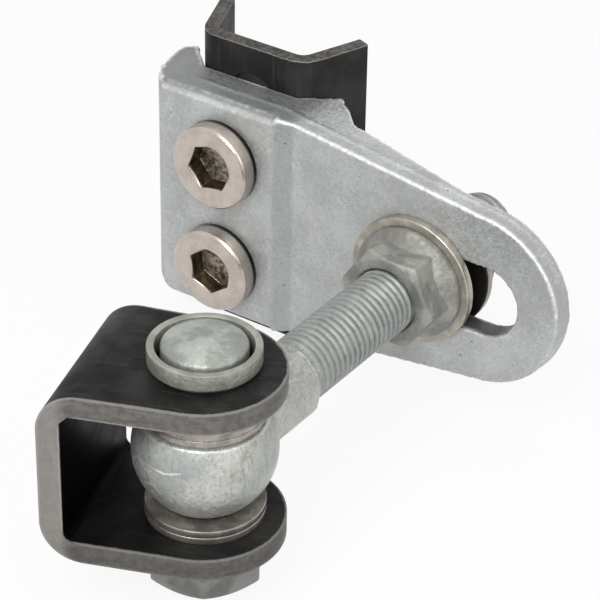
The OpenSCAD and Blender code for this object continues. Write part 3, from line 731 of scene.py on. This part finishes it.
def rounded_plate(points):
    """The plate's boss with a rounder lower left corner and rounder ears, and a left wall that swells by up to
    1.7 mm as a half sine of its depth. That wall leans out by 0.28 mm for each millimetre of its depth."""
    x, y, z = row_to_gate(points).T / MM
    near = x < -84
    left = -94.6 - 0.28 * np.clip(y - 104.6, 0, 19.5)
    x = np.where(near, np.maximum(x, left - 0.1), x)
    a, b = round_corner(x - left, z - PLATE_UNDER, 5.5)
    x, z = np.where(near, a + left, x), np.where(near, b + PLATE_UNDER, z)
    a, b = round_corner(x - left, y - PLATE_FACE, 4.5)
    x, y = np.where(near, a + left, x), np.where(near, b + PLATE_FACE, y)
    a, b = round_corner(x - left, EAR_END - y, 4.5)
    x, y = np.where(near, a + left, x), np.where(near, EAR_END - b, y)
    swell = 1.7 * np.sin(math.pi * np.clip((y - 103.5) / 24.0, 0, 1)) * np.clip((left + 8 - x) / 6, 0, 1)
    right = (x > -56) & (y > 118.6)
    a, b = round_corner(RIGHT_EAR - x, EAR_END - y, 5.0)
    x, y = np.where(right, RIGHT_EAR - a, x - np.where(near, swell, 0)), np.where(right, EAR_END - b, y)
    return gate_to_row(np.column_stack([x, y, z]) * MM)


def plate_painted_shade(f, colour):
    """Painted shade: a darker, bluer facet between the boss and the arm, a dark top side, and dark walls in the slot.
    """
    x, y = f.along_gate((1, 0, 0)), f.along_gate((0, 1, 0))
    z = f.sum("SUBTRACT", f.axes()[2], ROD_Z)
    stray = f.sum("MULTIPLY", f.sum("SUBTRACT", f.noise(260, 4, 0.65), 0.5), 2.4 * MM)
    # Painted shade on the sloping facet between the boss and the arm.
    across = f.sum("ABSOLUTE", f.sum("SUBTRACT", f.sum("ADD", x, stray), -47.5 * MM))
    colour = f.blend(f.rise(across, 3.8 * MM, 2.2 * MM, 0.0, 0.38), colour, (0.24, 0.265, 0.262))
    # Painted shade on the top side.
    top = f.sum("MULTIPLY", f.rise(f.sum("ADD", z, f.sum("MULTIPLY", stray, 0.25)), 36.3 * MM, 37.4 * MM),
                f.rise(y, 95 * MM, 100 * MM))
    colour = f.blend(f.sum("MULTIPLY", top, 0.6), colour, (0.1, 0.108, 0.103))
    # Painted shade on the walls in the slot.
    from_middle = f.sum("ABSOLUTE", f.sum("SUBTRACT", x, 8.5 * MM))
    over_end = f.sum("MAXIMUM", f.sum("SUBTRACT", from_middle, 15 * MM), 0.0)
    in_slot = f.rise(f.over(over_end, z), 12.0 * MM, 11.7 * MM)
    slot = f.sum("MULTIPLY", in_slot, f.rise(y, (PLATE_FACE - 1.2) * MM, PLATE_FACE * MM))
    return f.blend(f.sum("MULTIPLY", slot, 0.8), colour, (0.06, 0.065, 0.06))


def build_plate():
    """The forged slotted plate with its ears."""
    plate = forged("forged_plate", merged("gate_plate"), 0.6 * MM, 4, 0.045 * MM, 5, rounded_plate)
    dressed(plate, "plate_side", "gate_plate",
            galvanised("plate_zinc", (0.5, 0.515, 0.512), (0.37, 0.38, 0.372), more=plate_painted_shade))


def round_inner_folds(b):
    """The bracket's two inner corners: the outer points of the small square step there go back to the corner of web
    and flange, at the y of the step's points on the web, and that corner's edge is rounded by the fold's radius."""
    step_x, step_z, web_x, flange_z = 9, 18, 6.5, 20.5
    web_y = {}
    for v in b.verts:
        x, y, z = v.co / MM
        if abs(x - web_x) < 0.1 and abs(abs(z) - step_z) < 0.1:
            web_y[z > 0, y > 0] = v.co.y
    for v in b.verts:
        x, y, z = v.co / MM
        if abs(x - step_x) < 0.1 and abs(abs(z) - step_z) < 0.1:
            v.co = (web_x * MM, web_y[z > 0, y > 0], math.copysign(flange_z, z) * MM)
    join_flat_faces(b)
    folds = []
    for level in (-flange_z * MM, flange_z * MM):
        ends = [v for v in b.verts if abs(v.co.x - web_x * MM) < 1e-5 and abs(v.co.z - level) < 1e-5]
        folds.append(b.edges.get(ends) or bmesh.ops.connect_verts(b, verts=ends)["edges"][0])
    bmesh.ops.bevel(b, geom=folds, offset=INNER_FOLD_R, segments=8, profile=0.5, affect="EDGES")


def lengthen_bar(b):
    """The hidden bar's two ends, each 2 mm further out, so that its painted shade shows dark through the slot's top."""
    middle = sum(v.co.z for v in b.verts) / len(b.verts)
    for v in b.verts:
        if abs(v.co.z - middle) > 28 * MM:
            v.co.z += math.copysign(2 * MM, v.co.z - middle)


def build_sheet_metal():
    """The folded bracket, the folded channel and the bar inside it."""
    bracket = bevelled("folded_bracket", "post_bracket", 0.45 * MM, round_inner_folds)
    dressed(bracket, "post_side", "post_bracket", bracket_steel())
    channel = bevelled("folded_channel", "gate_channel", 0.45 * MM)
    dressed(channel, "gate_side", "gate_channel", channel_steel())
    bar = bevelled("clamp_bar", "nut_plate", 0.5 * MM, lengthen_bar)
    dressed(bar, "plate_side", "nut_plate", plain_steel())


def build_pivot():
    """The pin with its head, ring and nut, and the thrust washers above and below the eye."""
    zinc = zinc_plated("pivot_zinc", (0.37, 0.39, 0.36), (0.24, 0.255, 0.23))
    ring_zinc = zinc_plated("ring_zinc", (0.33, 0.34, 0.295), (0.24, 0.245, 0.21))
    nut_zinc = zinc_plated("nut_zinc", (0.22, 0.22, 0.21), (0.13, 0.13, 0.125))
    for name, node, width, finish in [("pin_with_domed_head", "pivot_bolt", 1.6 * MM, zinc),
                                      ("head_ring", "guard_ring", 0.6 * MM, ring_zinc)]:
        dressed(bevelled(name, node, width), "post_side", node, finish)

    def below_bracket(points):
        return points * (1, 1, -1) + (PIN_X, PIN_Y, -27 * MM)
    pin_nut = nut("pin_nut", 30 * MM, 13.5 * MM, 0, 0, 0, below_bracket, math.radians(78))
    dressed(pin_nut, "post_side", "pivot_nut", nut_zinc)
    steel = stainless("thrust_steel", (0.4, 0.37, 0.34), (0.22, 0.2, 0.18), 0.24)
    for node in ["lower_washer_1", "lower_washer_2", "upper_washer_1", "upper_washer_2", "upper_washer_3",
                 "upper_washer_4"]:
        dressed(bevelled("thrust_" + node, node, 0.3 * MM), "post_side", node, steel)


def build_clamp():
    """The flanged nuts and the washers on either side of the plate, and the two socket screws."""
    worn = zinc_plated("worn_nut_zinc", (0.3, 0.297, 0.275), (0.2, 0.198, 0.183), 0.44)
    steel = stainless("washer_steel", (0.46, 0.43, 0.38), (0.3, 0.28, 0.24), 0.3)
    for name, node, y, way, turn in [("front_flange_nut", "front_nut", 102, -1, 85),
                                     ("rear_flange_nut", "rear_nut", 116, 1, 65)]:
        def on_bolt(points):
            return gate_to_row(np.column_stack([points[:, 0], y * MM + way * points[:, 2], -way * points[:, 1]]))
        made = nut(name, 28 * MM, 13.6 * MM, 17.9 * MM, 1.6 * MM, 3.9 * MM, on_bolt, math.radians(turn))
        dressed(made, "clamp", node, worn)
    shaded = stainless("shaded_washer_steel", (0.46, 0.43, 0.38), (0.3, 0.28, 0.24), 0.3, painted_face_shade)
    for name, node, finish in [("front_clamp_washer", "front_washer", steel),
                               ("rear_clamp_washer", "rear_washer", shaded)]:
        dressed(bevelled(name, node, 0.5 * MM), "clamp", node, finish)
    screw_steel = stainless("screw_steel", (0.54, 0.48, 0.435), (0.45, 0.4, 0.36), 0.2, painted_screw_shade)
    for name, node, height, turn in [("upper_socket_screw", "upper_screw", 17.3, 80),
                                     ("lower_socket_screw", "lower_screw", -19.3, 54)]:
        dressed(socket_screw(name, height, turn), "plate_side", node, screw_steel)


# ---------------------------------------------------------------- camera, floor and light

def aim_camera():
    """The photograph's viewpoint: its azimuth, elevation and roll, and the eye's centre seen from the lens."""
    azimuth, elevation, roll = math.radians(17.53), math.radians(32.55), math.radians(0.98)
    back = np.array([math.sin(azimuth) * math.cos(elevation), -math.cos(azimuth) * math.cos(elevation),
                     math.sin(elevation)])
    level = np.array([math.cos(azimuth), math.sin(azimuth), 0])
    upright = np.cross(back, level)
    right = math.cos(roll) * level + math.sin(roll) * upright
    up = math.cos(roll) * upright - math.sin(roll) * level
    eye_seen = np.array([-25.62, -38.80, 746.44]) * MM
    spot = np.array([PIN_X, PIN_Y, ROD_Z]) - eye_seen[0] * right - eye_seen[1] * up + eye_seen[2] * back
    lens = bpy.data.cameras.new("camera")
    lens.lens = 165.75
    lens.sensor_width = 36
    lens.clip_start, lens.clip_end = 0.05, 20
    camera = put_in_scene("camera", lens)
    turn = Matrix((right, up, back)).transposed()
    camera.matrix_world = Matrix.Translation(Vector(spot)) @ turn.to_4x4()
    bpy.context.scene.camera = camera


def light_path_mix(tree, seen, lit):
    """A shader that is seen by the camera and in reflections, and another that lights the object."""
    path = tree.nodes.new("ShaderNodeLightPath")
    mix = tree.nodes.new("ShaderNodeMixShader")
    share = path.outputs["Is Camera Ray"]
    for ray in ("Is Glossy Ray", "Is Transmission Ray"):
        either = tree.nodes.new("ShaderNodeMath")
        either.operation = "MAXIMUM"
        tree.links.new(share, either.inputs[0])
        tree.links.new(path.outputs[ray], either.inputs[1])
        share = either.outputs[0]
    for source, socket in zip((share, lit, seen), mix.inputs):
        tree.links.new(source, socket)
    return mix.outputs[0]


def plain_shader(tree, kind, grey, strength=None):
    """The output of a plain grey background, glow or matt shader."""
    made = tree.nodes.new(kind)
    made.inputs["Color"].default_value = (grey, grey, grey, 1)
    if strength is not None:
        made.inputs["Strength"].default_value = strength
    return made.outputs[0]


def white_room():
    """A world that is white to the camera and in reflections, and lights the hinge with a dimmer white."""
    world = bpy.data.worlds.new("white room")
    bpy.context.scene.world = world
    world.use_nodes = True
    tree = world.node_tree
    tree.nodes.clear()
    seen = plain_shader(tree, "ShaderNodeBackground", 1, 1.0)
    lit = plain_shader(tree, "ShaderNodeBackground", 1, 0.45)
    out = tree.nodes.new("ShaderNodeOutputWorld")
    tree.links.new(light_path_mix(tree, seen, lit), out.inputs["Surface"])


def pale_floor():
    """A plain pale disc under the hinge. Most of it glows white to the camera, so that only a soft shadow shows."""
    a = np.linspace(0, 2 * math.pi, 96, endpoint=False)
    z = cad_box[0].z - 0.3 * MM
    points = np.column_stack([PIN_X + 3 * np.cos(a), PIN_Y + 3 * np.sin(a), np.full_like(a, z)])
    mesh = bpy.data.meshes.new("floor")
    mesh.from_pydata(points.tolist(), [], [list(range(96))])
    floor = put_in_scene("floor", mesh)
    material = bpy.data.materials.new("pale floor")
    material.use_nodes = True
    tree = material.node_tree
    tree.nodes.clear()
    matt = plain_shader(tree, "ShaderNodeBsdfDiffuse", 0.8)
    soft = tree.nodes.new("ShaderNodeMixShader")
    soft.inputs[0].default_value = 0.9
    tree.links.new(matt, soft.inputs[1])
    tree.links.new(plain_shader(tree, "ShaderNodeEmission", 1), soft.inputs[2])
    out = tree.nodes.new("ShaderNodeOutputMaterial")
    tree.links.new(light_path_mix(tree, soft.outputs[0], matt), out.inputs["Surface"])
    mesh.materials.append(material)


def lamp(name, spot, aim, size, power):
    """A square soft lamp at a spot, turned to its aim."""
    light = bpy.data.lights.new(name, "AREA")
    light.shape = "SQUARE"
    light.size = size
    light.energy = power
    made = put_in_scene(name, light)
    made.location = spot
    made.rotation_mode = "QUATERNION"
    made.rotation_quaternion = (Vector(aim) - Vector(spot)).to_track_quat("-Z", "Y")


def soft_lamps():
    """A main lamp high in front, a weak one at the right and a weak one above."""
    aim = (0.05, 0.05, 0)
    lamp("key", (0.02, -0.68, 0.7), aim, 0.5, 7)
    lamp("fill", (0.7, -0.5, 0.45), aim, 0.6, 2)
    lamp("top", (0.1, 0.15, 0.95), aim, 0.6, 2)


build_eyebolt()
build_plate()
build_sheet_metal()
build_pivot()
build_clamp()
aim_camera()
white_room()
pale_floor()
soft_lamps()
bpy.context.scene.view_settings.view_transform = "Standard"

bpy.context.view_layer.update()
